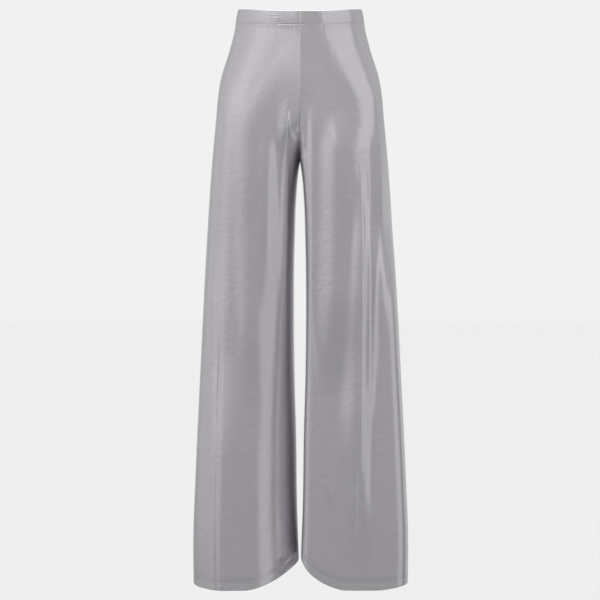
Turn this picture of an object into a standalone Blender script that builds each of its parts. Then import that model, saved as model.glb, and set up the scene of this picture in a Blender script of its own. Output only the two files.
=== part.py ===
"""Wide straight-leg trousers in soft metallic jersey, filled out as worn, with nobody inside.

Lengths are in millimetres in the tables and become metres in the meshes, +Z up. The wearer
faces -Y, and the wearer's left is +X. The origin is the middle of the waist, where a wearer
holds the trousers up, level with the middle of the waistband at its sides.

A maker cuts four leg panels and two half waistbands. Each is a wall of cloth: a grid of outer
points, the same grid moved inwards along the cloth's normals, and a rim that joins them.
Neighbouring pieces are a seam's gap apart.
"""

from collections import namedtuple

import bpy
import numpy as np

MM = 0.001

# Cloth and seams
WALL = 1.5
SEAM_GAP = 0.3
HEM_TURN = 19.0  # the hem is turned up inside by this much
HEM_WALL = 2.6  # cloth and its turned-up hem together
BAND_WALL = 3.0  # doubled cloth over elastic
BAND_PROUD = 0.8  # the waistband stands this far outside the panels

# Heights above the origin
BAND_TOP = 13.0  # at the sides
BAND_HEIGHT = 26.0
FRONT_DIP = 14.6  # the waistline is this much lower at the centre front
BACK_RISE = 6.0  # and this much higher at the centre back
WAISTLINE_FADE = -140.0  # below this the panels' rows are level again
CROTCH = -279.0
FORK_HEIGHT = 135.0  # the legs have become one body this far above the crotch
HEM = -1091.0
INSEAM_LIFT = 44.0  # the hem is this much higher at the inseam
LIFT_START = -640.0  # the hem's slant begins here

# Powers of curves
FORK_POWER = 2.0
FORK_OPENING = 0.11  # how fast the legs' rings part at the top of the fork
TUCK_POWER = 2.5
LIFT_POWER = 1.5
WAISTLINE_POWER = 1.35

# Each piece's grid of points
PANEL_COLUMNS = 28
COLUMN_POWER = 1.6  # how the columns crowd towards the centre seam
ROW_POWER = 4.0  # how the rows fan out from the fork
FORK_ROWS = 7
HIP_ROWS = 4
LEG_ROWS = 14
BELOW_FORK = ((10.0, 21.0), (32.0, 43.0), (64.0, 64.0))  # at the inseam and the side seam
HEM_STEP = 1.0  # the turned-up hem's inner edge is this tall
BAND_COLUMNS = 32
BAND_ROWS = 2

# The garment's outline on a general figure. outer is the silhouette seen from the front,
# and front and back are the silhouette seen from the side. A ring round the body or a leg is
# two halves of superellipses, and the powers say how square they are: 2 is round.
Section = namedtuple("Section", "height outer front back front_power back_power")
SECTIONS = (
    Section(13, 118.7, 86, 88, 2.0, 2.3),
    Section(-26, 125.8, 90, 94, 2.15, 2.35),
    Section(-64, 135.0, 96, 103, 2.5, 2.4),
    Section(-122, 152.0, 104, 118, 3.1, 2.45),
    Section(-161, 157.5, 107, 125, 4.0, 2.5),
    Section(-200, 160.5, 109, 127, 4.2, 2.5),
    Section(-279, 168.0, 109, 121, 3.7, 2.5),
    Section(-431, 178.5, 105, 112, 3.2, 2.4),
    Section(-662, 190.3, 103, 110, 3.3, 2.3),
    Section(-894, 201.0, 106, 114, 2.7, 2.3),
    Section(-1000, 204.8, 108, 117, 2.6, 2.3),
    Section(-1091, 204.3, 110, 119, 2.6, 2.3),
)

# Half the gap between the legs.
Gap = namedtuple("Gap", "height half")
GAPS = (
    Gap(-279, 0.0),
    Gap(-315, 4.6),
    Gap(-354, 7.4),
    Gap(-431, 10.0),
    Gap(-662, 10.8),
    Gap(-817, 7.4),
    Gap(-1000, 5.0),
    Gap(-1091, 2.0),
)

# How far the inner side of each leg is pressed flat, how square its corner is at the fork and
# from the knee down, and how square the side seam's corner is from the knee down
Corners = namedtuple("Corners", "tuck fork_power inner_power outer_power")
CORNERS = {
    ("right", "front"): Corners(4, 3.3, 2.0, 3.2),
    ("left", "front"): Corners(34, 7.0, 4.5, 5.5),
    ("right", "back"): Corners(6, 2.6, 2.3, 2.3),
    ("left", "back"): Corners(6, 2.6, 2.3, 2.3),
}
KNEE = -850.0  # the corners have their lower shape from here down

# The largest folds, which stand out forwards or backwards. top and bottom are heights; a fold
# grows from nothing over the length grow below its top, and dies over the length fade above
# its bottom. at_top and at_bottom place its crest as a share of the way from the body's middle
# to the side, positive on the front and negative on the back. in_top and in_bottom are the
# width of the flank towards the middle, and out_top and out_bottom of the one towards the side.
Fold = namedtuple(
    "Fold", "top bottom grow fade at_top at_bottom in_top in_bottom out_top out_bottom rise"
)
FOLDS = {
    "right": (
        Fold(-110, -760, 120, 200, 0.58, 0.49, 60, 36, 42, 24, 4.8),
        Fold(-640, HEM, 200, 0, 0.76, 0.75, 60, 60, 26, 26, 6.0),
        Fold(-215, -600, 60, 200, 0.37, 0.33, 22, 24, 22, 24, 2.6),
        Fold(-165, -620, 60, 200, 0.155, 0.125, 12, 12, 22, 20, 4.0),
        Fold(-230, HEM, 200, 0, -0.36, -0.33, 34, 42, 28, 34, 6.0),
        Fold(-300, HEM, 200, 0, -0.60, -0.56, 26, 34, 36, 44, 5.5),
        Fold(-360, HEM, 200, 0, -0.84, -0.80, 16, 20, 12, 16, 2.2),
    ),
    "left": (
        Fold(-168, -640, 60, 200, 0.15, 0.115, 12, 12, 38, 40, 3.0),
        Fold(-190, -740, 80, 220, 0.42, 0.34, 36, 50, 100, 90, 12.0),
        Fold(-300, -900, 150, 220, 0.68, 0.53, 14, 54, 44, 40, 8.5),
        Fold(-600, -1070, 240, 200, 0.58, 0.575, 44, 44, 22, 22, 5.0),
        Fold(-240, HEM, 200, 0, -0.34, -0.37, 32, 38, 30, 38, 6.0),
        Fold(-290, HEM, 200, 0, -0.62, -0.59, 30, 36, 32, 40, 5.5),
        Fold(-380, HEM, 200, 0, -0.86, -0.83, 14, 18, 11, 14, 2.0),
    ),
}

Finish = namedtuple("Finish", "colour roughness metallic")
CLOTH = Finish((0.40, 0.385, 0.405), 0.38, 0.75)
BAND_CLOTH = Finish((0.43, 0.415, 0.435), 0.34, 0.75)

SIDES = {"right": -1, "left": 1}
FACES = {"front": -1, "back": 1}


def smooth(table, column, heights):
    """A named column of a table at these heights, by cubic curves through its rows."""
    known = np.array([row.height for row in reversed(table)], float)
    values = np.array([getattr(row, column) for row in reversed(table)], float)
    slopes = np.gradient(values, known)
    i = np.clip(np.searchsorted(known, heights) - 1, 0, len(known) - 2)
    span = known[i + 1] - known[i]
    t = np.clip((heights - known[i]) / span, 0, 1)
    ends = (1 + 2 * t) * (1 - t) ** 2 * values[i] + t * t * (3 - 2 * t) * values[i + 1]
    return ends + t * (1 - t) * span * ((1 - t) * slopes[i] - t * slopes[i + 1])


def ease(t):
    """0 to 1, level at both ends."""
    t = np.clip(t, 0, 1)
    return t * t * (3 - 2 * t)


def fork_ratio(height):
    """How far the two legs' rings are apart above the crotch, from 1 to 0."""
    climb = np.clip((height - CROTCH) / FORK_HEIGHT, 0, 1)
    return (1 - FORK_OPENING * climb - (1 - FORK_OPENING) * climb**FORK_POWER) ** FORK_POWER


def ring_sizes(height, side, face):
    """The middle, half width, depth and the outer and inner side's power of the ring round
    one leg at these heights.

    Just above the crotch the two rings run into each other at the centre seam. Higher up
    their middles come together, until both are the same ring round the hips.
    """
    corners = CORNERS[side, face]
    outer = smooth(SECTIONS, "outer", height)
    widest = smooth(SECTIONS, "outer", np.array([CROTCH]))[0]
    ratio = (widest - corners.tuck) / (widest + corners.tuck) * fork_ratio(height)
    gap = smooth(GAPS, "half", np.minimum(height, CROTCH)) - corners.tuck
    middle = np.where(height > CROTCH, outer * ratio / (1 + ratio), (outer + gap) / 2)
    half = np.where(height > CROTCH, outer - middle, (outer - gap) / 2)
    power = smooth(SECTIONS, f"{face}_power", height)
    spread = ease((CROTCH + FORK_HEIGHT - height) / (1.3 * FORK_HEIGHT))
    low = ease((CROTCH - 60 - height) / (CROTCH - 60 - KNEE))
    inner_power = corners.fork_power + (corners.inner_power - corners.fork_power) * low
    inner_power = power + (inner_power - power) * spread
    power = power + (corners.outer_power - power) * low
    return middle, half, smooth(SECTIONS, face, height), power, inner_power


def seam_turn(height, ring):
    """The turn round the ring, from its front, at which it meets the inseam or centre seam."""
    _, half, depth, power, inner_power = ring
    along = (1 - fork_ratio(height) ** power) ** (1 / power)
    across = (1 - along**inner_power) ** (1 / inner_power)
    return -np.arctan2(half * across, depth * along)


def ring_point(ring, turn, face):
    """Points of rings at these turns: x, y, and the shares of the half width and of the depth
    that they lie at."""
    middle, half, depth, outer_power, inner_power = ring
    power = np.where(turn < 0, inner_power, outer_power)
    across, along = np.sin(turn), np.maximum(np.cos(turn), 0)
    size = np.abs(across / half) ** power + (along / depth) ** power
    size = size ** (-1 / power)
    x, y = middle + size * across, FACES[face] * size * along
    return x, y, size * across / half, size * along / depth


def waistline(face, depth_share):
    """How far the waistline is above its height at the sides."""
    step = -FRONT_DIP if face == "front" else BACK_RISE
    return step * depth_share**WAISTLINE_POWER


def fold_rise(side, face, x, heights):
    """How far the folds stand out at the points of a grid. Across a fold, each flank is half
    a wave from the crest down to nothing."""
    outer = smooth(SECTIONS, "outer", heights)
    total = np.zeros(x.shape)
    for fold in FOLDS[side]:
        if fold.at_top * FACES[face] > 0:
            continue
        down = np.clip((fold.top - heights) / (fold.top - fold.bottom), 0, 1)
        crest = np.abs(fold.at_top + (fold.at_bottom - fold.at_top) * down) * outer
        inside = fold.in_top + (fold.in_bottom - fold.in_top) * down
        outside = fold.out_top + (fold.out_bottom - fold.out_top) * down
        away = np.where(x < crest, (crest - x) / inside, (x - crest) / outside)
        strength = ease((fold.top - heights) / fold.grow)
        if fold.fade:
            strength = strength * ease((heights - fold.bottom) / fold.fade)
        total += fold.rise * strength * (0.5 + 0.5 * np.cos(np.pi * np.minimum(away, 1)))
    return total


def panel_rows():
    """The heights of a leg panel's rows at its inseam or centre seam and at its side seam."""
    top = BAND_TOP - BAND_HEIGHT - SEAM_GAP
    hip = np.linspace(top, CROTCH + FORK_HEIGHT, HIP_ROWS + 1)[:-1]
    climb = np.linspace(1, 0, FORK_ROWS + 1)
    below = CROTCH - np.array(BELOW_FORK)
    leg = np.linspace(below[-1, 0], HEM + HEM_TURN, LEG_ROWS + 1)[1:]
    hem = np.array([HEM + HEM_TURN - HEM_STEP, HEM])
    centre = [hip, CROTCH + FORK_HEIGHT * climb ** (2 - 0.5 * climb), below[:, 0], leg, hem]
    side = [hip, CROTCH + FORK_HEIGHT * climb, below[:, 1], leg, hem]
    return np.concatenate(centre), np.concatenate(side)


def panel_grid(side, face):
    """The outer points of a leg panel as rows of columns, for the left leg."""
    centre, outside = (rows[:, None] for rows in panel_rows())
    shares = np.linspace(0, 1, PANEL_COLUMNS + 1)[None, :]
    height = outside + (centre - outside) * (1 - shares) ** ROW_POWER
    ring = ring_sizes(height, side, face)
    start = seam_turn(height, ring)
    start_shift = start + np.pi / 2
    crowding = np.clip(0.75 * np.pi / np.maximum(start_shift, 0.01), COLUMN_POWER, 7)
    turn = np.pi * (shares - 0.5) + start_shift * (1 - shares) ** crowding
    x, y, width_share, depth_share = ring_point(ring, turn, face)
    past, _, end_share, _ = ring_point(ring, start, face)
    past = smooth(GAPS, "half", np.minimum(height, CROTCH)) - past
    inward = np.clip(width_share / np.minimum(end_share, -1e-6), 0, 1)
    x = x + past * inward**TUCK_POWER
    y = y + FACES[face] * fold_rise(side, face, x, height)
    lift = INSEAM_LIFT * np.clip(-width_share, 0, 1) ** LIFT_POWER
    lift = lift * ease((LIFT_START - height) / (LIFT_START - HEM))
    dip = ease((height - WAISTLINE_FADE) / (BAND_TOP - BAND_HEIGHT - WAISTLINE_FADE))
    z = height + lift + waistline(face, depth_share) * dip
    return np.stack([x, y, z], axis=2)


def seam_rows():
    """Which of a panel's rows end at the centre seam, and which at the inseam."""
    centre = panel_rows()[0]
    return centre > CROTCH, centre <= CROTCH


def normals(grid, face):
    """Unit normals of a grid of points, pointing out of the garment."""
    down, across = np.gradient(grid, axis=0), np.gradient(grid, axis=1)
    n = np.cross(across, down) if face == "back" else np.cross(down, across)
    return n / np.linalg.norm(n, axis=2, keepdims=True)


def flatten(n, rows, column, axis):
    """Turns the normals at a seam into its plane, and lengthens them so that the wall keeps
    its thickness there."""
    edge = n[rows, column]
    edge[:, axis] = 0
    size = np.maximum(np.linalg.norm(edge, axis=1, keepdims=True), 0.5)
    n[rows, column] = edge / size**2


def wall_faces(rows, columns):
    """Quads of a closed wall: the outer grid's points come first, then the inner grid's."""
    index = np.arange(rows * columns).reshape(rows, columns)
    inner = index + rows * columns
    faces = []

    def strip(a, b, c, d):
        faces.extend(np.stack([a.ravel(), b.ravel(), c.ravel(), d.ravel()], axis=1).tolist())

    strip(index[:-1, :-1], index[:-1, 1:], index[1:, 1:], index[1:, :-1])
    strip(inner[:-1, :-1], inner[1:, :-1], inner[1:, 1:], inner[:-1, 1:])
    strip(index[0, :-1], inner[0, :-1], inner[0, 1:], index[0, 1:])
    strip(index[-1, :-1], index[-1, 1:], inner[-1, 1:], inner[-1, :-1])
    strip(index[:-1, 0], index[1:, 0], inner[1:, 0], inner[:-1, 0])
    strip(index[:-1, -1], inner[:-1, -1], inner[1:, -1], index[1:, -1])
    return faces


def cloth_object(name, outer, inner, material, turned):
    """A closed wall of cloth between two grids. turned says that the grids run the other way
    round, so that the faces have to be turned over."""
    points = np.concatenate([outer.reshape(-1, 3), inner.reshape(-1, 3)]) * MM
    faces = wall_faces(*outer.shape[:2])
    if turned:
        faces = [(a, d, c, b) for a, b, c, d in faces]
    mesh = bpy.data.meshes.new(name)
    mesh.from_pydata(points.tolist(), [], faces)
    mesh.materials.append(material)
    mesh.shade_smooth()
    mesh.set_sharp_from_angle(angle=np.radians(50))
    obj = bpy.data.objects.new(name, mesh)
    bpy.context.scene.collection.objects.link(obj)
    return obj


def leg_panel(side, face, material):
    """One of the four panels, from the waist seam to the hem."""
    outer = panel_grid(side, face)
    joined, parted = seam_rows()
    outer[joined, 0, 0] = SEAM_GAP / 2
    outer[parted, 0, 1] = FACES[face] * SEAM_GAP / 2
    outer[:, -1, 1] = FACES[face] * SEAM_GAP / 2
    n = normals(outer, face)
    flatten(n, joined, 0, 0)
    flatten(n, parted, 0, 1)
    flatten(n, joined | parted, -1, 1)
    n[np.argmax(parted), 0] = (0, 0, -2)
    n[[0, -1], :, 2] = 0
    wall = np.full(len(outer), WALL)
    wall[-2:] = HEM_WALL
    inner = outer - n * wall[:, None, None]
    mirror = np.array([SIDES[side], 1, 1])
    turned = (face == "front") != (side == "right")
    return cloth_object(f"{face}_{side}_leg", outer * mirror, inner * mirror, material, turned)


def half_band(side, material):
    """Half of the waistband, from the centre front round the side to the centre back."""
    height = BAND_TOP - BAND_HEIGHT * np.linspace(0, 1, BAND_ROWS + 1)[:, None]
    turn = np.linspace(0, np.pi / 2, BAND_COLUMNS // 2 + 1)[None, :]
    grids = []
    for proud in (BAND_PROUD, BAND_PROUD - BAND_WALL):
        halves = []
        for face in FACES:
            middle, half, depth, *powers = ring_sizes(height, side, face)
            ring = (middle, half + proud, depth + proud, *powers)
            x, y, _, depth_share = ring_point(ring, turn, face)
            halves.append(np.stack([x, y, height + waistline(face, depth_share)], axis=2))
        grid = np.concatenate([halves[0], halves[1][:, -2::-1]], axis=1)
        grid[:, [0, -1], 0] = SEAM_GAP / 2
        grids.append(grid * (SIDES[side], 1, 1))
    return cloth_object(f"waistband_{side}", *grids, material, side == "left")


def finish(name, look):
    """A plain material of the cloth's colour."""
    material = bpy.data.materials.new(name)
    material.use_nodes = True
    shader = material.node_tree.nodes["Principled BSDF"]
    shader.inputs["Base Color"].default_value = (*look.colour, 1)
    shader.inputs["Roughness"].default_value = look.roughness
    shader.inputs["Metallic"].default_value = look.metallic
    return material


def main():
    for obj in list(bpy.data.objects):
        bpy.data.objects.remove(obj)
    cloth = finish("cloth", CLOTH)
    band_cloth = finish("band_cloth", BAND_CLOTH)
    for side in SIDES:
        for face in FACES:
            leg_panel(side, face, cloth)
        half_band(side, band_cloth)


main()
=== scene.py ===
"""Fine metallic jersey over the solids of a pair of wide straight-leg trousers.

The tables and formulas are those of the solids, in their millimetres, with more columns and
rows and finer folds. The left leg's front has squarer corners here, and the hem slants a
little more. Rolled seams, a pressed lip and ripples under the waistband, pleats and wrinkles
in it, and a stitched hem are added. The wearer faces -Y, and the wearer's left is +X.
"""

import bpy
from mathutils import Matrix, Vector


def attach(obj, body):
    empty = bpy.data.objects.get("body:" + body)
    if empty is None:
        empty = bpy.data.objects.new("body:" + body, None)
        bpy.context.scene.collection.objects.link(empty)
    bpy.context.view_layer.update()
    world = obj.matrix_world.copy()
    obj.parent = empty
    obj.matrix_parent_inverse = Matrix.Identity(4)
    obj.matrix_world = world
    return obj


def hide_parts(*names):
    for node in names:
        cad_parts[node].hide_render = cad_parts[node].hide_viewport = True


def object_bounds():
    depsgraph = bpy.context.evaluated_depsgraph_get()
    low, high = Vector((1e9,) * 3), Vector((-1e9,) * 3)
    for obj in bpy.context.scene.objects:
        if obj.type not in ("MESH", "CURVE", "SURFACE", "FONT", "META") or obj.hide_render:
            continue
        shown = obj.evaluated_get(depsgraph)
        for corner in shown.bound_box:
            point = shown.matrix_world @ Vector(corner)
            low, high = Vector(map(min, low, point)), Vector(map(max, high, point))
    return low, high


bl_info = {
    "name": "Jersey Trousers",
    "version": (1, 0, 0),
    "blender": (4, 5, 0),
    "location": "3D View > Sidebar > Trousers",
    "description": "Dresses wide straight-leg trousers in metallic jersey",
    "category": "Object",
}

from collections import namedtuple

import bpy
import numpy as np
from mathutils import Vector

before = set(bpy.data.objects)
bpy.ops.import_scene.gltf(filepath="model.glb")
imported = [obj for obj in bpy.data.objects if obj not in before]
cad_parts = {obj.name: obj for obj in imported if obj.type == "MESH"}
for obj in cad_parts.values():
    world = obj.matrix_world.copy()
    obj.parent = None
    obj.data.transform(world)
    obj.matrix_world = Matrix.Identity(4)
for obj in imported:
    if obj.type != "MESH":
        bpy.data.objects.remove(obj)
CAD_BOX = [list(corner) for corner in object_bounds()]

SIDES = {"right": -1, "left": 1}
FACES = {"front": -1, "back": 1}

# The tables' unit, from the height of the solids
TABLE_HEIGHT = 1110.0
MM = (CAD_BOX[1][2] - CAD_BOX[0][2]) / TABLE_HEIGHT

# The cut. It is that of the solids, but for a narrower gap at the seams, and a hem that rises a
# little more towards them.
WALL = 1.5
SEAM_GAP = 0.1
HEM_TURN = 19.0
HEM_WALL = 2.6
BAND_TOP = 13.0
BAND_HEIGHT = 26.0
BAND_PROUD = 0.8
BAND_WALL = 3.0
FRONT_DIP = 14.6
BACK_RISE = 6.0
WAISTLINE_FADE = -140.0
CROTCH = -279.0
FORK_HEIGHT = 135.0
FORK_FADE = 64.0
HEM = -1091.0
INSEAM_LIFT = {"right": 44.0, "left": 56.0}
OUTSEAM_LIFT = {"right": 4.0, "left": 11.0}
LIFT_START = -640.0
FORK_POWER = 2.0
FORK_OPENING = 0.11
LIFT_POWER = 1.5
WAISTLINE_POWER = 1.35
COLUMN_POWER = 1.6
ROW_POWER = 4.0
PANEL_WIDTH = 310.0

# Half widths and depths of the ring round the body and legs, and how square its halves are
Section = namedtuple("Section", "height outer front back front_power back_power")
SECTIONS = (
    Section(13, 118.7, 86, 88, 2.0, 2.3),
    Section(-26, 125.8, 90, 94, 2.15, 2.35),
    Section(-64, 135.0, 96, 103, 2.5, 2.4),
    Section(-122, 152.0, 104, 118, 3.1, 2.45),
    Section(-161, 157.5, 107, 125, 4.0, 2.5),
    Section(-200, 160.5, 109, 127, 4.2, 2.5),
    Section(-279, 168.0, 109, 121, 3.7, 2.5),
    Section(-431, 178.5, 105, 112, 3.2, 2.4),
    Section(-662, 190.3, 103, 110, 3.3, 2.3),
    Section(-894, 201.0, 106, 114, 2.7, 2.3),
    Section(-1000, 204.8, 108, 117, 2.6, 2.3),
    Section(-1091, 204.3, 110, 119, 2.6, 2.3),
)

Gap = namedtuple("Gap", "height half")
GAPS = (
    Gap(-279, 0.0),
    Gap(-315, 4.6),
    Gap(-354, 7.4),
    Gap(-431, 10.0),
    Gap(-662, 10.8),
    Gap(-817, 7.4),
    Gap(-1000, 5.0),
    Gap(-1091, 2.0),
)

# How far the inner side of each leg is pressed flat, how square its corner is at the fork and
# from the knee down, and how square the side seam's corner is from the thigh down
Corners = namedtuple("Corners", "tuck fork_power inner_power outer_power")
CORNERS = {
    ("right", "front"): Corners(4, 3.3, 2.0, 3.2),
    ("left", "front"): Corners(34, 7.0, 9.0, 9.0),
    ("right", "back"): Corners(6, 2.6, 2.3, 2.3),
    ("left", "back"): Corners(6, 2.6, 2.3, 2.3),
}
TUCK_POWER = 2.5

# Between which heights the corners get their lower shape
Span = namedtuple("Span", "top bottom")
INNER_CHANGE = Span(CROTCH - 60, -850.0)
OUTER_CHANGE = Span(-400.0, -620.0)

# The centre seams stand out a little, on flanks this wide, and fade over these lengths at both
# ends
CENTRE_RIDGE = 1.8
CENTRE_FLANK = 45.0
RIDGE = Span(-14.0, -250.0)
RIDGE_FADE = Span(30.0, 90.0)

# Folds stand out forwards or backwards, or sink in where rise is negative. They grow over the
# length grow below top, and die over the length fade above bottom. at_top and at_bottom place
# the crest as a share of the way from the body's middle to the side, positive on the front and
# negative on the back. in_top and in_bottom are the width of the flank towards the middle, and
# out_top and out_bottom of the one towards the side.
Fold = namedtuple(
    "Fold", "top bottom grow fade at_top at_bottom in_top in_bottom out_top out_bottom rise"
)
FOLDS = {
    "right": (
        Fold(-110, -760, 120, 200, 0.58, 0.49, 60, 36, 42, 24, 4.8),
        Fold(-640, HEM, 200, 0, 0.76, 0.75, 60, 60, 26, 26, 6.0),
        Fold(-560, HEM, 160, 0, 0.80, 0.762, 4.5, 4.5, 4.5, 4.5, -2.3),
        Fold(-600, -900, 120, 120, 0.945, 0.93, 5, 5, 5, 5, -2.6),
        Fold(-840, HEM, 120, 0, 0.83, 0.80, 4.5, 4.5, 4.5, 4.5, -2.2),
        Fold(-215, -600, 60, 200, 0.37, 0.33, 22, 24, 22, 24, 2.6),
        Fold(-165, -620, 60, 200, 0.155, 0.125, 8, 8, 22, 20, 4.0),
        Fold(-330, HEM, 160, 0, 0.93, 0.80, 8, 9, 14, 22, 2.0),
        Fold(-190, -900, 120, 200, -0.14, -0.12, 10, 12, 18, 22, 3.0),
        Fold(-230, HEM, 200, 0, -0.36, -0.33, 34, 42, 28, 34, 6.0),
        Fold(-300, HEM, 200, 0, -0.60, -0.56, 26, 34, 36, 44, 5.5),
        Fold(-360, HEM, 200, 0, -0.84, -0.80, 16, 20, 12, 16, 2.2),
    ),
    "left": (
        Fold(-168, -640, 60, 200, 0.15, 0.115, 12, 12, 38, 40, 3.0),
        Fold(-190, -740, 80, 220, 0.42, 0.34, 36, 50, 100, 90, 12.0),
        Fold(-300, -900, 150, 220, 0.68, 0.53, 14, 54, 44, 40, 8.5),
        Fold(-260, HEM, 120, 0, 0.68, 0.51, 3, 3, 7, 7, 1.3),
        Fold(-230, -820, 120, 180, 0.785, 0.65, 6, 8, 9, 12, 2.0),
        Fold(-600, -1070, 240, 200, 0.58, 0.575, 44, 44, 22, 22, 5.0),
        Fold(-215, -640, 80, 160, 0.92, 0.82, 9, 11, 12, 14, 2.0),
        Fold(-480, -960, 120, 60, 0.10, 0.29, 8, 8, 8, 8, 1.0),
        Fold(-200, -860, 120, 200, -0.13, -0.13, 10, 12, 18, 22, 3.0),
        Fold(-240, HEM, 200, 0, -0.34, -0.37, 32, 38, 30, 38, 6.0),
        Fold(-290, HEM, 200, 0, -0.62, -0.59, 30, 36, 32, 40, 5.5),
        Fold(-380, HEM, 200, 0, -0.86, -0.83, 14, 18, 11, 14, 2.0),
    ),
}

# Short creases where the front panels meet at the fork. x is negative on the right leg. They
# fade over these lengths at their two ends.
Crease = namedtuple("Crease", "x top bottom half rise")
CREASE_FADE = Span(18.0, 12.0)
CREASES = (
    Crease(-18.0, -226, -272, 2.2, 0.7),
    Crease(-7.0, -218, -266, 1.8, 0.8),
    Crease(0.5, -214, -258, 1.6, 0.7),
    Crease(7.0, -232, -268, 1.8, 0.6),
)

# Long slanting waves that together ripple the cloth, in radians for each millimetre, and their
# shift in radians
Wave = namedtuple("Wave", "across down shift")
RIPPLES = (
    Wave(0.21, 0.013, 0.0),
    Wave(0.13, -0.021, 1.7),
    Wave(0.34, 0.031, 4.1),
    Wave(0.09, 0.045, 2.6),
)
RIPPLE_SWAY = 1.5  # how far their crests wander down the leg, in radians
SWAY_RATE = 0.011  # and how fast, in radians for each millimetre
LEFT_SHIFT = 37  # keeps the legs' ripples different
SEAM_CLEAR = 12.0  # the ripples are level at a seam and whole this far from it
ROLL_WIDTH = 1.5

# Waves round the body that the elastic gathers. They die over this depth below the waistband,
# and are whole this far from a seam.
Gather = namedtuple("Gather", "rise across shift")
GATHERS = (Gather(0.12, 0.55, 0.0), Gather(0.10, 0.83, 2.0))
GATHER_DEPTH = 14.0
GATHER_CLEAR = 8.0

# The panels stand out in a lip under the waistband. At the centre front it is pressed in again
# along its top edge, between these two places on the right and the left leg.
LIP = 0.8
LIP_HEIGHT = 11.0
PRESS = 1.1
PRESS_HEIGHT = 1.8
PRESS_RIGHT, PRESS_RIGHT_FADE = -44.0, 9.0
PRESS_LEFT, PRESS_LEFT_FADE = 11.0, 7.0

# The hem's rows of stitches above its edge, how far they stay from the seams, the step from one
# stitch to the next in stitch lengths, how deep they sit, the groove that they pull in, and the
# rounded edge
STITCH_ROWS = (17.8, 12.3)
STITCH_CLEAR = 2.0
STITCH_STEP = 1.3
STITCH_SUNK = 0.15
GROOVE = 0.25
GROOVE_HALF = 1.3
EDGE_HEIGHT = 1.2
EDGE_ROUND = 0.9

# The waistband: its faces from edge to edge and from the centre front to the side, the radius
# that turns an angle round it into millimetres, its rounded edges, its fullness over the
# elastic, and its centre seams
BAND_ROWS = 60
BAND_COLUMNS = 170
BAND_RADIUS = 110.0
BAND_EDGE = 1.2
BAND_FULLNESS = 0.6
BAND_SEAM = 0.2
BAND_SEAM_HALF = 2.2

# Soft waves round it, level at a centre seam and whole this far from it
BandWave = namedtuple("BandWave", "rise across down shift")
BAND_WAVES = (BandWave(0.10, 0.17, 0.05, 0.0), BandWave(0.04, 0.41, 0.0, -1.0))
BAND_CLEAR = 10.0

# Small upright pleats in it, at these millimetres from the centre front
BAND_PLEATS = {"right": (5.5, 10.5), "left": (2.5,)}
PLEAT_RISE = 0.4
PLEAT_HALF = 1.3

# Short level wrinkles in the front of its right half. around runs from the centre front.
Wrinkle = namedtuple("Wrinkle", "around height length rise")
BAND_WRINKLES = (
    Wrinkle(62, 3.5, 14, 0.6),
    Wrinkle(56, -2.0, 12, 0.8),
    Wrinkle(53, -6.5, 9, 0.7),
)
WRINKLE_HALF = 1.4

FLOOR_REACH = 60.0  # half the floor's side, in metres


# ---------------------------------------------------------------- sizes and colours


class TrousersSizes(bpy.types.PropertyGroup):
    """What a user would change about the cloth's build."""

    panel_columns: bpy.props.IntProperty(
        name="Panel columns",
        description="Columns of faces across a leg panel",
        default=160,
        min=20,
    )
    panel_rows: bpy.props.IntProperty(
        name="Panel rows",
        description="Rows of faces down a leg panel, apart from those at its lip and hem",
        default=190,
        min=40,
    )
    seam_roll: bpy.props.FloatProperty(
        name="Seam roll",
        description="How deep the cloth rolls in at a seam",
        default=0.14 * MM,
        unit="LENGTH",
    )
    ripple: bpy.props.FloatProperty(
        name="Ripple",
        description="Height of the small uneven waves in the cloth",
        default=0.06 * MM,
        unit="LENGTH",
    )
    stitch_length: bpy.props.FloatProperty(
        name="Stitch length",
        description="Length of a hem stitch",
        default=3.0 * MM,
        unit="LENGTH",
    )
    thread: bpy.props.FloatProperty(
        name="Thread",
        description="Thickness of the sewing thread",
        default=0.45 * MM,
        unit="LENGTH",
    )


class TrousersColours(bpy.types.PropertyGroup):
    """The colours of cloth, thread and floor, and the foil's sheen."""

    foil: bpy.props.FloatVectorProperty(
        name="Foil",
        description="Colour of the metallic face of the jersey",
        default=(0.86, 0.83, 0.87),
        subtype="COLOR",
    )
    ground: bpy.props.FloatVectorProperty(
        name="Ground",
        description="Colour of the jersey between the foil's grains",
        default=(0.62, 0.60, 0.64),
        subtype="COLOR",
    )
    roughness: bpy.props.FloatProperty(
        name="Roughness",
        description="Mean roughness of the foil, low for a sharp sheen",
        default=0.18,
        min=0.0,
        max=1.0,
        subtype="FACTOR",
    )
    thread: bpy.props.FloatVectorProperty(
        name="Thread",
        description="Colour of the thread",
        default=(0.42, 0.41, 0.43),
        subtype="COLOR",
    )
    floor: bpy.props.FloatVectorProperty(
        name="Floor",
        description="Colour of the floor",
        default=(0.83, 0.83, 0.83),
        subtype="COLOR",
    )


class TrousersStage(bpy.types.PropertyGroup):
    """Where the camera stands."""

    distance: bpy.props.FloatProperty(
        name="Distance",
        description="From the camera to the middle of the garment",
        default=3.6,
        unit="LENGTH",
    )
    eye_height: bpy.props.FloatProperty(
        name="Eye height",
        description="The camera's height above the waist",
        default=-0.547,
        unit="LENGTH",
    )
    view_width: bpy.props.FloatProperty(
        name="View width",
        description="What the frame spans at the garment",
        default=1.158,
        unit="LENGTH",
    )
    floor_drop: bpy.props.FloatProperty(
        name="Floor drop",
        description="The floor's depth below the hem",
        default=0.16,
        unit="LENGTH",
    )


# ---------------------------------------------------------------- the garment's form


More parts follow.
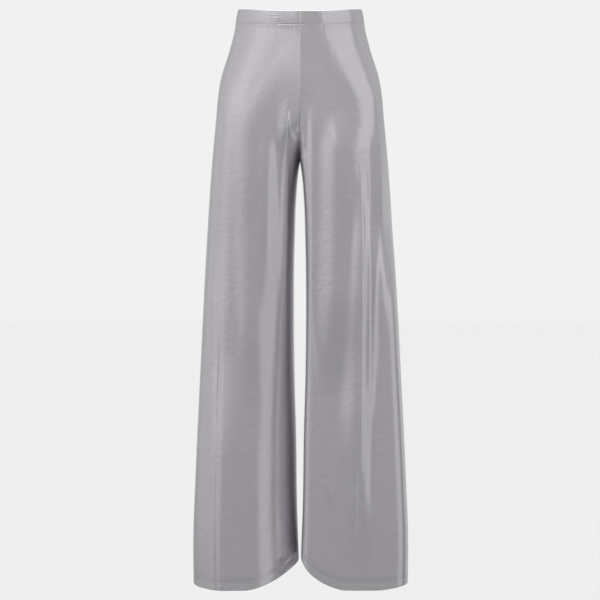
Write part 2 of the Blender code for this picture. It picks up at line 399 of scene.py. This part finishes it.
def smooth(table, column, heights):
    """A named column of a table at these heights, by cubic curves through its rows."""
    known = np.array([row.height for row in reversed(table)], float)
    values = np.array([getattr(row, column) for row in reversed(table)], float)
    slopes = np.gradient(values, known)
    i = np.clip(np.searchsorted(known, heights) - 1, 0, len(known) - 2)
    span = known[i + 1] - known[i]
    t = np.clip((heights - known[i]) / span, 0, 1)
    ends = (1 + 2 * t) * (1 - t) ** 2 * values[i] + t * t * (3 - 2 * t) * values[i + 1]
    return ends + t * (1 - t) * span * ((1 - t) * slopes[i] - t * slopes[i + 1])


def ease(t):
    """0 to 1, level at both ends."""
    t = np.clip(t, 0, 1)
    return t * t * (3 - 2 * t)


def bell(distance, half):
    """1 at no distance, dying on both sides by a bell curve."""
    return np.exp(-((distance / half) ** 2))


def fork_ratio(height):
    """How far the two legs' rings are apart above the crotch, from 1 to 0."""
    climb = np.clip((height - CROTCH) / FORK_HEIGHT, 0, 1)
    return (1 - FORK_OPENING * climb - (1 - FORK_OPENING) * climb**FORK_POWER) ** FORK_POWER


def ring_sizes(height, side, face):
    """Middle, half width, depth and the outer and inner side's power of the ring round one
    leg."""
    corners = CORNERS[side, face]
    outer = smooth(SECTIONS, "outer", height)
    widest = smooth(SECTIONS, "outer", np.array([CROTCH]))[0]
    ratio = (widest - corners.tuck) / (widest + corners.tuck) * fork_ratio(height)
    gap = smooth(GAPS, "half", np.minimum(height, CROTCH)) - corners.tuck
    middle = np.where(height > CROTCH, outer * ratio / (1 + ratio), (outer + gap) / 2)
    half = np.where(height > CROTCH, outer - middle, (outer - gap) / 2)
    power = smooth(SECTIONS, f"{face}_power", height)
    spread = ease((CROTCH + FORK_HEIGHT - height) / (1.3 * FORK_HEIGHT))
    low, squared = (
        ease((change.top - height) / (change.top - change.bottom))
        for change in (INNER_CHANGE, OUTER_CHANGE)
    )
    inner_power = corners.fork_power + (corners.inner_power - corners.fork_power) * low
    inner_power = power + (inner_power - power) * spread
    power = power + (corners.outer_power - power) * squared
    return middle, half, smooth(SECTIONS, face, height), power, inner_power


def seam_turn(height, ring):
    """The turn from the ring's front at which it meets the inseam or centre seam."""
    _, half, depth, power, inner_power = ring
    along = (1 - fork_ratio(height) ** power) ** (1 / power)
    across = (1 - along**inner_power) ** (1 / inner_power)
    return -np.arctan2(half * across, depth * along)


def ring_point(ring, turn, face):
    """Points of superellipse rings at these turns: x, y, and the shares of half width and
    depth that they lie at."""
    middle, half, depth, outer_power, inner_power = ring
    power = np.where(turn < 0, inner_power, outer_power)
    across, along = np.sin(turn), np.maximum(np.cos(turn), 0)
    size = np.abs(across / half) ** power + (along / depth) ** power
    size = size ** (-1 / power)
    x, y = middle + size * across, FACES[face] * size * along
    return x, y, size * across / half, size * along / depth


def waistline(face, depth_share):
    """How far the waistline is above its height at the sides."""
    step = -FRONT_DIP if face == "front" else BACK_RISE
    return step * depth_share**WAISTLINE_POWER


def fold_rise(side, face, x, heights):
    """How far the folds stand out: each is half a wave on both sides of its crest, and its
    two flanks may have different widths."""
    outer = smooth(SECTIONS, "outer", heights)
    total = np.zeros(x.shape)
    for fold in FOLDS[side]:
        if fold.at_top * FACES[face] > 0:
            continue
        down = np.clip((fold.top - heights) / (fold.top - fold.bottom), 0, 1)
        crest = np.abs(fold.at_top + (fold.at_bottom - fold.at_top) * down) * outer
        inner = fold.in_top + (fold.in_bottom - fold.in_top) * down
        outside = fold.out_top + (fold.out_bottom - fold.out_top) * down
        away = np.where(x < crest, (crest - x) / inner, (x - crest) / outside)
        strength = ease((fold.top - heights) / fold.grow)
        if fold.fade:
            strength = strength * ease((heights - fold.bottom) / fold.fade)
        total += fold.rise * strength * (0.5 + 0.5 * np.cos(np.pi * np.minimum(away, 1)))
    return total


def crease_rise(x, heights):
    """How far the short creases at the fork stand out, from x across both legs."""
    total = np.zeros(x.shape)
    for crease in CREASES:
        along = ease((crease.top - heights) / CREASE_FADE.top)
        along = along * ease((heights - crease.bottom) / CREASE_FADE.bottom)
        total += crease.rise * along * bell(x - crease.x, crease.half)
    return total


def ripples(side, face, shares, heights):
    """Small uneven waves, from -1 to 1: a few long slanting waves, which beat together."""
    around = -FACES[face] * shares * PANEL_WIDTH + (LEFT_SHIFT if side == "left" else 0)
    total = 0
    for wave in RIPPLES:
        sway = RIPPLE_SWAY * np.sin(SWAY_RATE * heights + 3 * wave.shift)
        total = total + np.sin(wave.across * around + wave.down * heights + wave.shift + sway)
    return total / len(RIPPLES)


def seam_height(outside):
    """The height at which a row that ends at this height on the side seam starts on the
    centre seam or inseam. Rows fan out from the fork."""
    climb = np.clip((outside - CROTCH) / FORK_HEIGHT, 0, 1)
    drop = np.clip((CROTCH - outside) / FORK_FADE, 0, 1)
    return np.where(
        outside > CROTCH,
        np.where(climb < 1, CROTCH + FORK_HEIGHT * climb ** (3 - 1.5 * climb), outside),
        np.where(drop < 1, CROTCH - FORK_FADE * drop**1.6, outside),
    )


def panel_surface(side, face, shares, outside):
    """A leg panel's outer surface, for the left leg.

    shares run from the inseam or centre seam to the side seam, and outside are the heights
    where the rows meet the side seam. The result is the points, the heights before the hem's
    slant and the waistline's curve, and how far round the leg from the inseam the points are,
    as a share of half the leg.
    """
    height = outside + (seam_height(outside) - outside) * (1 - shares) ** ROW_POWER
    ring = ring_sizes(height, side, face)
    start = seam_turn(height, ring)
    start_shift = start + np.pi / 2
    crowding = np.clip(0.75 * np.pi / np.maximum(start_shift, 0.01), COLUMN_POWER, 7)
    turn = np.pi * (shares - 0.5) + start_shift * (1 - shares) ** crowding
    x, y, width_share, depth_share = ring_point(ring, turn, face)
    past, _, end_share, _ = ring_point(ring, start, face)
    past = smooth(GAPS, "half", np.minimum(height, CROTCH)) - past
    inward = np.clip(width_share / np.minimum(end_share, -1e-6), 0, 1)
    x = x + past * inward**TUCK_POWER
    y = y + FACES[face] * fold_rise(side, face, x, height)
    if face == "front":
        y = y - crease_rise(SIDES[side] * x, height)
    ridge = CENTRE_RIDGE * np.clip(1 - x / CENTRE_FLANK, 0, 1) ** 2
    ridge = ridge * ease((height - RIDGE.bottom) / RIDGE_FADE.bottom)
    y = y + FACES[face] * ridge * ease((RIDGE.top - height) / RIDGE_FADE.top)
    lift = INSEAM_LIFT[side] * np.clip(-width_share, 0, 1) ** LIFT_POWER
    lift = lift + OUTSEAM_LIFT[side] * np.clip(2 * width_share - 1, 0, 1) ** LIFT_POWER
    lift = lift * ease((LIFT_START - height) / (LIFT_START - HEM))
    dip = ease((height - WAISTLINE_FADE) / (BAND_TOP - BAND_HEIGHT - WAISTLINE_FADE))
    z = height + lift + waistline(face, depth_share) * dip
    return np.stack([x, y, z], axis=2), height, turn / np.pi + 0.5


def normals(grid, face):
    """Unit normals of a grid of points, pointing out of the garment."""
    down, across = np.gradient(grid, axis=0), np.gradient(grid, axis=1)
    n = np.cross(across, down) if face == "back" else np.cross(down, across)
    return n / np.linalg.norm(n, axis=2, keepdims=True)


def flatten(n, rows, column, axis):
    """Turns the normals at a seam into its plane, longer by what the slant takes."""
    edge = n[rows, column]
    edge[:, axis] = 0
    size = np.maximum(np.linalg.norm(edge, axis=1, keepdims=True), 0.5)
    n[rows, column] = edge / size**2


# ---------------------------------------------------------------- meshes


def wall_faces(rows, columns):
    """Quads of a closed wall: the outer grid's points come first, then the inner grid's."""
    index = np.arange(rows * columns).reshape(rows, columns)
    inner = index + rows * columns
    strips = (
        (index[:-1, :-1], index[:-1, 1:], index[1:, 1:], index[1:, :-1]),
        (inner[:-1, :-1], inner[1:, :-1], inner[1:, 1:], inner[:-1, 1:]),
        (index[0, :-1], inner[0, :-1], inner[0, 1:], index[0, 1:]),
        (index[-1, :-1], index[-1, 1:], inner[-1, 1:], inner[-1, :-1]),
        (index[:-1, 0], index[1:, 0], inner[1:, 0], inner[:-1, 0]),
        (index[:-1, -1], inner[:-1, -1], inner[1:, -1], index[1:, -1]),
    )
    return np.concatenate([np.stack([c.ravel() for c in strip], axis=1) for strip in strips])


def mesh_object(name, points, faces, cloth_places, material):
    """A smooth mesh of quads, with a UV map that lays it out as flat cloth, in metres."""
    mesh = bpy.data.meshes.new(name)
    mesh.vertices.add(len(points))
    mesh.vertices.foreach_set("co", np.ascontiguousarray(points, np.float32).ravel())
    mesh.loops.add(faces.size)
    mesh.loops.foreach_set("vertex_index", faces.ravel().astype(np.int32))
    mesh.polygons.add(len(faces))
    mesh.polygons.foreach_set("loop_start", np.arange(0, faces.size, 4, dtype=np.int32))
    mesh.update(calc_edges=True)
    uv = mesh.uv_layers.new(name="Cloth")
    uv.data.foreach_set("uv", cloth_places[faces.ravel()].astype(np.float32).ravel())
    mesh.materials.append(material)
    mesh.shade_smooth()
    mesh.set_sharp_from_angle(angle=np.radians(60))
    obj = bpy.data.objects.new(name, mesh)
    bpy.context.scene.collection.objects.link(obj)
    return obj


def cloth_wall(name, outer, inner, flat, turned, material):
    """A closed wall of cloth between two grids. turned turns its faces over."""
    faces = wall_faces(*outer.shape[:2])
    if turned:
        faces = faces[:, [0, 3, 2, 1]]
    points = np.concatenate([outer.reshape(-1, 3), inner.reshape(-1, 3)]) * MM
    places = np.tile(flat.reshape(-1, 2), (2, 1)) * MM
    return mesh_object(name, points, faces, places, material)


def panel_rows(count):
    """The heights at which a panel's rows meet the side seam. They crowd at the lip under the
    waistband, where the hem is turned up and at its edge."""
    top = BAND_TOP - BAND_HEIGHT - SEAM_GAP
    turn = HEM + HEM_TURN
    lip = top - np.array([0, 0.4, 0.8, 1.2, 1.7, 2.3, 3, 4, 5.5, 7.5, 10])
    above = np.linspace(top - 13, CROTCH - FORK_FADE, int(0.4 * count))
    leg = np.linspace(CROTCH - FORK_FADE, turn, int(0.55 * count))[1:]
    hem = np.linspace(turn - 1, HEM + 2, 7)
    edge = HEM + np.array([1.2, 0.6, 0.2, 0])
    return np.concatenate([lip, above, leg, hem, edge])[:, None]


def panel_relief(side, face, sizes, shares, x, height, turned_share):
    """How far the cloth's small forms stand out from the panel's surface: ripples, gathers and
    a lip under the waistband, rolled seams, grooves along the stitches and a rounded hem."""
    to_seam = np.minimum(shares, 1 - shares) * PANEL_WIDTH
    below_band = BAND_TOP - BAND_HEIGHT - SEAM_GAP - height
    around = -FACES[face] * turned_share * PANEL_WIDTH
    relief = sizes.ripple / MM * ripples(side, face, turned_share, height)
    relief = relief * ease(to_seam / SEAM_CLEAR)
    gathers = sum(wave.rise * np.sin(wave.across * around + wave.shift) for wave in GATHERS)
    gathers = gathers * np.exp(-below_band / GATHER_DEPTH)
    relief = relief + gathers * ease(to_seam / GATHER_CLEAR)
    relief = relief + LIP * ease((LIP_HEIGHT - below_band) / LIP_HEIGHT)
    if face == "front":
        pressed = PRESS * np.clip(1 - below_band / PRESS_HEIGHT, 0, 1) ** 2
        pressed = pressed * ease((SIDES[side] * x - PRESS_RIGHT) / PRESS_RIGHT_FADE)
        relief = relief - pressed * ease((PRESS_LEFT - SIDES[side] * x) / PRESS_LEFT_FADE)
    relief = relief - sizes.seam_roll / MM * np.clip(1 - to_seam / ROLL_WIDTH, 0, 1) ** 2
    relief = relief - sum(GROOVE * bell(height - HEM - row, GROOVE_HALF) for row in STITCH_ROWS)
    edge = np.clip(1 - (height - HEM) / EDGE_HEIGHT, 0, 1)
    return relief - EDGE_ROUND * (1 - np.sqrt(np.clip(1 - edge**2, 0, 1)))


def leg_panel(side, face, sizes, material):
    """One of the four panels as fine cloth, from the waist seam to the hem. Its columns crowd
    at the seams."""
    even = np.linspace(0, 1, sizes.panel_columns + 1)
    shares = (0.4 * even + 0.6 * (0.5 - 0.5 * np.cos(np.pi * even)))[None, :]
    outside = panel_rows(sizes.panel_rows)
    outer, height, turned_share = panel_surface(side, face, shares, outside)
    n = normals(outer, face)
    relief = panel_relief(side, face, sizes, shares, outer[..., 0], height, turned_share)
    outer = outer + n * relief[..., None]

    joined = (seam_height(outside) > CROTCH)[:, 0]
    outer[joined, 0, 0] = SEAM_GAP / 2
    outer[~joined, 0, 1] = FACES[face] * SEAM_GAP / 2
    outer[:, -1, 1] = FACES[face] * SEAM_GAP / 2
    flatten(n, joined, 0, 0)
    flatten(n, ~joined, 0, 1)
    flatten(n, joined | ~joined, -1, 1)
    n[np.argmax(~joined), 0] = (0, 0, -2)  # the inner wall is straight above the fork's point
    n[[0, -1], :, 2] = 0  # and level with the outer one at the top and the hem
    single = outside[:, 0] > HEM + HEM_TURN - 0.5
    wall = np.where(single, WALL, HEM_WALL - EDGE_ROUND * (outside[:, 0] < HEM + 0.1))
    inner = outer - n * wall[:, None, None]

    around = -FACES[face] * turned_share * PANEL_WIDTH
    flat = np.stack(np.broadcast_arrays(around, height), axis=2)
    mirror = np.array([SIDES[side], 1, 1])
    turned = (face == "front") != (side == "right")
    name = f"{face}_{side}_jersey"
    piece = cloth_wall(name, outer * mirror, inner * mirror, flat, turned, material)
    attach(piece, "root")
    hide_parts(f"{face}_{side}_leg")
    return piece


def band_relief(side, face, around, height):
    """How far the waistband's small forms stand out: its fullness over the elastic, soft waves
    that are level at the centre seams, pleats and wrinkles. around runs from the centre seam,
    in millimetres, and is negative on the back."""
    middle = BAND_TOP - BAND_HEIGHT / 2
    relief = BAND_FULLNESS * (1 - ((height - middle) / (BAND_HEIGHT / 2)) ** 2)
    swell = sum(
        wave.rise * np.sin(wave.across * around + wave.down * height + wave.shift)
        for wave in BAND_WAVES
    )
    relief = relief + swell * ease(np.abs(around) / BAND_CLEAR)
    relief = relief + sum(PLEAT_RISE * bell(around - at, PLEAT_HALF) for at in BAND_PLEATS[side])
    if side == "right" and face == "front":
        for wrinkle in BAND_WRINKLES:
            away = bell(around - wrinkle.around, wrinkle.length)
            away = away * bell(height - wrinkle.height, WRINKLE_HALF)
            relief = relief + wrinkle.rise * away
    return relief


def half_band(side, material):
    """Half of the waistband: a flat tube of cloth over elastic, with rounded edges and a
    shallow seam at the centre front and back. Its rows crowd at the edges."""
    edge = 0.5 - 0.5 * np.cos(np.linspace(0, np.pi, BAND_ROWS + 1))
    height = (BAND_TOP - BAND_HEIGHT * edge)[:, None]
    turn = np.linspace(0, np.pi / 2, BAND_COLUMNS + 1)[None, :]
    to_edge = np.minimum(BAND_TOP - height, height - BAND_TOP + BAND_HEIGHT)
    round_off = 1 - np.sqrt(1 - np.clip(1 - to_edge / BAND_EDGE, 0, 1) ** 2)
    grids = []
    for out, sign in ((BAND_PROUD, 1), (BAND_PROUD - BAND_WALL, -1)):
        halves = []
        for face in FACES:
            middle, half, depth, *powers = ring_sizes(height, side, face)
            around = -FACES[face] * turn * BAND_RADIUS
            seam = BAND_SEAM * np.clip(1 - np.abs(around) / BAND_SEAM_HALF, 0, 1) ** 2
            proud = out - sign * (BAND_EDGE * round_off + seam)
            proud = proud + band_relief(side, face, around, height)
            ring = (middle, half + proud, depth + proud, *powers)
            x, y, _, depth_share = ring_point(ring, turn, face)
            halves.append(np.stack([x, y, height + waistline(face, depth_share)], axis=2))
        grid = np.concatenate([halves[0], halves[1][:, -2::-1]], axis=1)
        grid[:, [0, -1], 0] = SEAM_GAP / 2
        grids.append(grid * (SIDES[side], 1, 1))
    outer, inner = grids
    run = np.concatenate([[0], np.cumsum(np.linalg.norm(np.diff(outer[0], axis=0), axis=1))])
    flat = np.stack(np.broadcast_arrays(run[None, :], height), axis=2)
    piece = cloth_wall(f"waistband_{side}_jersey", outer, inner, flat, side == "left", material)
    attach(piece, "root")
    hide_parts(f"waistband_{side}")
    return piece


def stitch_shape():
    """A stitch's points, in lengths along, across and out of it, and its quads: a rounded
    rod with six sides."""
    angles = np.arange(6) * np.pi / 3
    rings = ((-0.5, 0.45), (-0.38, 1.0), (0.38, 1.0), (0.5, 0.45))
    points = [
        (place, wide * np.cos(angle), wide * np.sin(angle))
        for place, wide in rings
        for angle in angles
    ]
    corners = [(ring * 6 + i, ring * 6 + (i + 1) % 6) for ring in range(3) for i in range(6)]
    quads = [(a, b, b + 6, a + 6) for a, b in corners]
    quads += [(0, 3, 2, 1), (0, 5, 4, 3), (18, 19, 20, 21), (21, 22, 23, 18)]
    return np.array(points), np.array(quads)


def hem_stitches(side, face, sizes, material):
    """Rows of machine stitches that hold up the hem of one panel: rods set one after another
    along the panel's surface, turned by its normals. They follow the middle one of three close
    lines, and the other two are there for the normals. A rod points at the place on its line
    that is a little further on."""
    shape, quads = stitch_shape()
    length, radius = sizes.stitch_length / MM, sizes.thread / MM / 2
    shape = shape * (length, radius, radius)
    shares = np.linspace(0, 1, 1500)[None, :]
    clear = STITCH_CLEAR + length / 2
    points, faces, count = [], [], 0
    for row in STITCH_ROWS:
        outside = HEM + row + np.array([0.5, 0, -0.5])[:, None]
        grid = panel_surface(side, face, shares, outside)[0]
        line, out = grid[1], normals(grid, face)[1]
        run = np.concatenate([[0], np.cumsum(np.linalg.norm(np.diff(line, axis=0), axis=1))])
        middles = np.arange(clear, run[-1] - clear, STITCH_STEP * length)
        at, ahead, n = (
            np.stack([np.interp(place, run, values[:, i]) for i in range(3)], axis=1)
            for place, values in ((middles, line), (middles + 0.3, line), (middles, out))
        )
        along = (ahead - at) / np.linalg.norm(ahead - at, axis=1, keepdims=True)
        n = n - along * (n * along).sum(axis=1, keepdims=True)
        n = n / np.linalg.norm(n, axis=1, keepdims=True)
        axes = np.stack([along, np.cross(n, along), n], axis=1)
        rods = (at - STITCH_SUNK * n)[:, None] + np.einsum("pi,nij->npj", shape, axes)
        starts = count + np.arange(len(middles))[:, None, None] * len(shape)
        points.append(rods.reshape(-1, 3))
        faces.append((quads + starts).reshape(-1, 4))
        count += len(middles) * len(shape)
    points, faces = np.concatenate(points) * (SIDES[side], 1, 1) * MM, np.concatenate(faces)
    if side == "right":
        faces = faces[:, ::-1]
    piece = mesh_object(f"{face}_{side}_hem_stitches", points, faces, points[:, [0, 2]], material)
    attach(piece, "root")
    return piece


# ---------------------------------------------------------------- shader maths and materials


class Value:
    """A socket of a node tree. Sums and products with it add Math nodes."""

    def __init__(self, nodes, socket):
        self.nodes, self.socket = nodes, socket

    def math(self, operation, *others):
        inputs = dict(enumerate((self, *others)))
        return self.nodes.add("ShaderNodeMath", {"operation": operation}, inputs)

    def __add__(self, other):
        return self.math("ADD", other)

    def __sub__(self, other):
        return self.math("SUBTRACT", other)

    def __rsub__(self, other):
        return (self * -1) + other

    def __mul__(self, other):
        return self.math("MULTIPLY", other)

    def __truediv__(self, other):
        return self.math("DIVIDE", other)

    __radd__, __rmul__ = __add__, __mul__

    def between(self, rise, fall):
        """1 between two soft edges, each given by where it starts and ends."""
        return self.soft_step(*rise) * (1 - self.soft_step(*fall))

    def clamp(self):
        """Held between 0 and 1."""
        return self.math("MINIMUM", 1).math("MAXIMUM", 0)

    def soft_step(self, low, high):
        """0 at low, 1 at high, level at both ends."""
        t = ((self - low) / (high - low)).clamp()
        return t * t * (3 - 2 * t)


class Nodes:
    """Adds nodes to a material or a world."""

    def __init__(self, owner):
        owner.use_nodes = True
        self.tree = owner.node_tree
        self.tree.nodes.clear()

    def add(self, kind, settings=None, inputs=None, output=0):
        """A node of this kind, with its settings and then its inputs, as one output."""
        node = self.tree.nodes.new(kind)
        for name, value in (settings or {}).items():
            if name == "ramp":
                self.set_ramp(node.color_ramp, value)
            else:
                setattr(node, name, value)
        for name, value in (inputs or {}).items():
            if isinstance(value, Value):
                self.tree.links.new(value.socket, node.inputs[name])
            else:
                node.inputs[name].default_value = value
        return Value(self, node.outputs[output]) if node.outputs else None

    @staticmethod
    def set_ramp(ramp, stops):
        """Gives a colour ramp these (place, grey) stops."""
        while len(ramp.elements) < len(stops):
            ramp.elements.new(0.5)
        for element, (place, grey) in zip(ramp.elements, stops):
            element.position, element.color = place, (grey, grey, grey, 1)

    def mix(self, factor, a, b):
        """Colour a turning into colour b as the factor goes from 0 to 1."""
        settings = {"data_type": "RGBA"}
        return self.add("ShaderNodeMix", settings, {"Factor": factor, "A": a, "B": b}, "Result")

    def noise(self, place, scale, detail):
        """Smooth noise from 0 to 1 at these places."""
        inputs = {"Vector": place, "Scale": scale, "Detail": detail}
        return self.add("ShaderNodeTexNoise", None, inputs, "Fac")


def colour(rgb):
    """An opaque colour for a socket."""
    return (*rgb, 1)


def jersey(name, colours):
    """Jersey with a metallic foil face: a knit ground under fine foil grains, uneven sheen,
    small crumples, and fine streaks drawn out along the flat cloth's length."""
    material = bpy.data.materials.new(name)
    nodes = Nodes(material)
    place = nodes.add("ShaderNodeTexCoord", output="Object")
    flat = nodes.add("ShaderNodeTexCoord", output="UV")
    drawn = nodes.add("ShaderNodeMapping", None, {"Vector": flat, "Scale": (1.0, 0.07, 1.0)})
    crossed = nodes.add("ShaderNodeMapping", None, {"Vector": flat, "Scale": (0.3, 1.0, 1.0)})
    grain = nodes.noise(place, 420, 2)
    mottle = nodes.noise(crossed, 190, 4)
    drift = nodes.noise(flat, 18, 3)
    streak = nodes.noise(drawn, 210, 4)
    foil_share = (0.6 + 0.6 * (grain - 0.5) + 0.3 * (mottle - 0.5)).clamp()
    tone = nodes.mix(foil_share, colour(colours.ground), colour(colours.foil))
    roughness = colours.roughness + 0.12 * (drift - 0.5) + 0.04 * (mottle - 0.5)
    crumple = nodes.noise(flat, 105, 3)
    height = 0.55 * streak + 0.9 * crumple
    bumps = {"Strength": 0.3, "Distance": 0.0010, "Height": height}
    bump = nodes.add("ShaderNodeBump", None, bumps)
    shader = nodes.add(
        "ShaderNodeBsdfPrincipled",
        None,
        {"Base Color": tone, "Metallic": 0.75, "Roughness": roughness, "Normal": bump},
    )
    nodes.add("ShaderNodeOutputMaterial", None, {"Surface": shader})
    return material


def thread_material(colours):
    """Dull polyester thread with a fine twist."""
    material = bpy.data.materials.new("thread")
    nodes = Nodes(material)
    place = nodes.add("ShaderNodeTexCoord", output="Object")
    twist = nodes.noise(place, 2600, 2)
    shaded = colour([0.7 * part for part in colours.thread])
    tone = nodes.mix(twist, shaded, colour(colours.thread))
    bumps = {"Strength": 0.4, "Distance": 0.0002, "Height": twist}
    bump = nodes.add("ShaderNodeBump", None, bumps)
    shader = nodes.add(
        "ShaderNodeBsdfPrincipled", None, {"Base Color": tone, "Roughness": 0.55, "Normal": bump}
    )
    nodes.add("ShaderNodeOutputMaterial", None, {"Surface": shader})
    return material


# ---------------------------------------------------------------- operators


class TROUSERS_OT_leg_panels(bpy.types.Operator):
    """Add the four leg panels of fine jersey and the stitches of their hems"""

    bl_idname = "trousers.leg_panels"
    bl_label = "Leg Panels"

    def execute(self, context):
        sizes = context.scene.trousers_sizes
        colours = context.scene.trousers_colours
        material = jersey("foil_jersey", colours)
        thread = thread_material(colours)
        for side in SIDES:
            for face in FACES:
                piece = leg_panel(side, face, sizes, material)
                stitches = hem_stitches(side, face, sizes, thread)
        return {"FINISHED"}


class TROUSERS_OT_waistband(bpy.types.Operator):
    """Add the two halves of the elastic waistband"""

    bl_idname = "trousers.waistband"
    bl_label = "Waistband"

    def execute(self, context):
        material = jersey("band_jersey", context.scene.trousers_colours)
        for side in SIDES:
            piece = half_band(side, material)
        return {"FINISHED"}


class TROUSERS_OT_stage(bpy.types.Operator):
    """Add the floor, the studio's light and the camera"""

    bl_idname = "trousers.stage"
    bl_label = "Stage"

    def execute(self, context):
        stage = context.scene.trousers_stage
        colours = context.scene.trousers_colours
        add_floor(CAD_BOX[0][2] - stage.floor_drop, colours)
        add_studio(context.scene)
        add_camera(context.scene, stage)
        return {"FINISHED"}


def add_floor(height, colours):
    """A wide, plain, pale floor."""
    mesh = bpy.data.meshes.new("floor")
    turns = ((-1, -1), (1, -1), (1, 1), (-1, 1))
    corners = [(FLOOR_REACH * x, FLOOR_REACH * y, height) for x, y in turns]
    mesh.from_pydata(corners, [], [(0, 1, 2, 3)])
    material = bpy.data.materials.new("floor")
    nodes = Nodes(material)
    shader = nodes.add(
        "ShaderNodeBsdfPrincipled", None, {"Base Color": colour(colours.floor), "Roughness": 0.9}
    )
    nodes.add("ShaderNodeOutputMaterial", None, {"Surface": shader})
    mesh.materials.append(material)
    floor = bpy.data.objects.new("floor", mesh)
    floor.visible_glossy = False
    bpy.context.scene.collection.objects.link(floor)


def add_studio(scene):
    """A soft studio all round, as the brightness of each direction: azimuth in degrees, 0
    behind the camera and more to its right, and the direction's height z, from -1 to 1. There
    is a long softbox at the left and a brighter one at the right, with a dark stretch beside
    it, a wide lamp and a glow on the camera's left, two small high lamps in front, a pale
    backdrop and a bright ceiling. The camera sees plain pale grey."""
    world = bpy.data.worlds.new("studio")
    scene.world = world
    nodes = Nodes(world)
    direction = nodes.add("ShaderNodeTexCoord", output="Generated")
    parts = nodes.add("ShaderNodeSeparateXYZ", None, {"Vector": direction})
    x, y, z = (Value(nodes, parts.socket.node.outputs[i]) for i in range(3))
    azimuth = x.math("ARCTAN2", y * -1) * (180 / np.pi)
    narrowed = azimuth - 28 * z.soft_step(0.15, 0.4)
    left = azimuth.between((-150, -126), (-44, -14))
    right = azimuth.soft_step(24, 34) * (1 - narrowed.soft_step(54, 66))
    shade = narrowed.soft_step(62, 76) * (1 - azimuth.soft_step(88, 104))
    shade = shade * (1 - z.soft_step(-0.02, 0.1))
    lamp = azimuth.between((-110, -60), (-6, 12)) * (1 - 0.3 * z.soft_step(0.52, 0.64))
    glow = azimuth.between((-80, -50), (-20, 6))
    spot = azimuth.between((-18, -13), (-9, -5)) * z.between((0.45, 0.49), (0.54, 0.58))
    brow = azimuth.between((-30, -12), (-2, 12)) * z.between((0.2, 0.34), (0.42, 0.5))
    backdrop = azimuth.soft_step(96, 110) * (1 - 0.7 * z.soft_step(0.0, 0.15))
    backdrop = backdrop + (azimuth * -1).soft_step(135, 180)
    light = 0.24 + 0.12 * z.soft_step(-0.18, 0.1) - 0.09 * shade + 0.2 * spot + 0.05 * brow
    light = light + lamp * 0.11 * z.soft_step(0.24, 0.44) + glow * 0.09 * z.soft_step(-0.06, 0.06)
    light = light + left * (0.08 + 0.07 * z.soft_step(-0.15, -0.03))
    light = light + right * (0.18 + 0.09 * z.soft_step(0.03, 0.16))
    light = light + 0.24 * backdrop + 1.95 * z.soft_step(0.78, 0.92)
    seen = nodes.add("ShaderNodeLightPath", output="Is Camera Ray")
    shown = light * (1 - seen) + 0.88 * seen
    white = colour((1, 1, 1))
    shader = nodes.add("ShaderNodeBackground", None, {"Color": white, "Strength": shown})
    nodes.add("ShaderNodeOutputWorld", None, {"Surface": shader})


def add_camera(scene, stage):
    """A level camera, far enough away for a flat view."""
    data = bpy.data.cameras.new("camera")
    data.lens = data.sensor_width * stage.distance / stage.view_width
    camera = bpy.data.objects.new("camera", data)
    camera.location = (0, -stage.distance, stage.eye_height)
    camera.rotation_euler = Vector((0, 1, 0)).to_track_quat("-Z", "Y").to_euler()
    scene.collection.objects.link(camera)
    scene.camera = camera
    scene.view_settings.view_transform = "Standard"


class TROUSERS_PT_panel(bpy.types.Panel):
    """Shows the trousers' settings and the buttons that add their pieces"""

    bl_idname = "TROUSERS_PT_panel"
    bl_label = "Trousers"
    bl_space_type = "VIEW_3D"
    bl_region_type = "UI"
    bl_category = "Trousers"

    def draw(self, context):
        for group in ("trousers_sizes", "trousers_colours", "trousers_stage"):
            settings = getattr(context.scene, group)
            for name in settings.__annotations__:
                self.layout.prop(settings, name)
        for operator in OPERATORS:
            self.layout.operator(operator.bl_idname)


GROUPS = {
    "trousers_sizes": TrousersSizes,
    "trousers_colours": TrousersColours,
    "trousers_stage": TrousersStage,
}
OPERATORS = (TROUSERS_OT_leg_panels, TROUSERS_OT_waistband, TROUSERS_OT_stage)


def register():
    for cls in (*GROUPS.values(), *OPERATORS, TROUSERS_PT_panel):
        bpy.utils.register_class(cls)
    for name, group in GROUPS.items():
        setattr(bpy.types.Scene, name, bpy.props.PointerProperty(type=group))


def unregister():
    for name in GROUPS:
        delattr(bpy.types.Scene, name)
    for cls in reversed((*GROUPS.values(), *OPERATORS, TROUSERS_PT_panel)):
        bpy.utils.unregister_class(cls)


def main():
    register()
    bpy.ops.trousers.leg_panels()
    bpy.ops.trousers.waistband()
    bpy.ops.trousers.stage()


if __name__ == "__main__":
    main()
